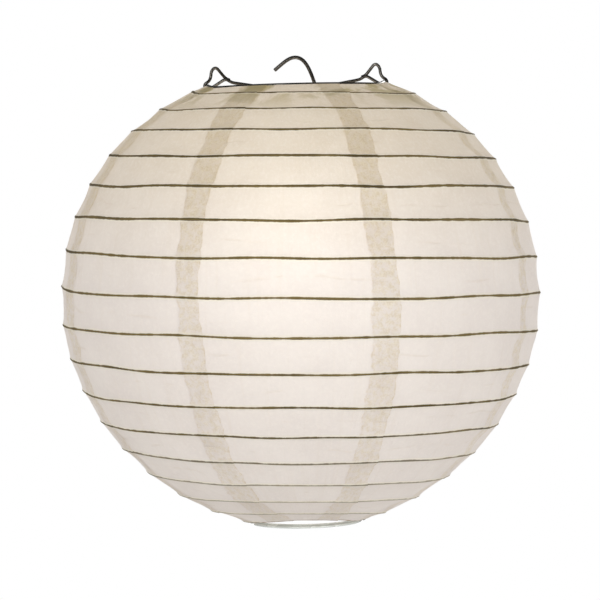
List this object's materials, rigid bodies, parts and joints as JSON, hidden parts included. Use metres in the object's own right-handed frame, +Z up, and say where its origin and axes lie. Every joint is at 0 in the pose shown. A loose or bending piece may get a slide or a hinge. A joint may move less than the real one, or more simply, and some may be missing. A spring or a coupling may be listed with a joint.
{
  "type": "paper lantern",
  "caption": "Round paper lantern shade on a helical rib wire and two end rings, stretched by a wire expander with a hanging hook; open at top and bottom.",
  "frame": {"origin": "underside of the hanging hook's top, on the shade's axis, where the lantern hangs", "axes": "+Z up along the shade's axis, +X across the expander towards the hook's stem, -Y towards the front"},
  "size_m": [0.3032, 0.3034, 0.2981],
  "materials": {
    "paper": "matte",
    "rib_steel": "matte",
    "bright_steel": "satin"
  },
  "bodies": {
    "root": {"paper_gore_1": "paper", "paper_gore_2": "paper", "paper_gore_3": "paper", "paper_gore_4": "paper", "paper_gore_5": "paper", "paper_gore_6": "paper", "paper_gore_7": "paper", "paper_gore_8": "paper", "rib_wire": "rib_steel", "top_ring": "bright_steel", "hanging_hook": "bright_steel", "leg_frame": "bright_steel", "top_crossbar": "bright_steel", "foot_bar": "bright_steel"},
    "lower_ring": {"bottom_ring": "bright_steel"}
  },
  "joints": [
    {"name": "shade_collapse", "type": "slide", "parent": "root", "child": "lower_ring", "axis": [0, 0, 1], "range_m": [0, 0.2594], "deforming": ["paper_gore_1", "paper_gore_2", "paper_gore_3", "paper_gore_4", "paper_gore_5", "paper_gore_6", "paper_gore_7", "paper_gore_8", "rib_wire"]}
  ]
}
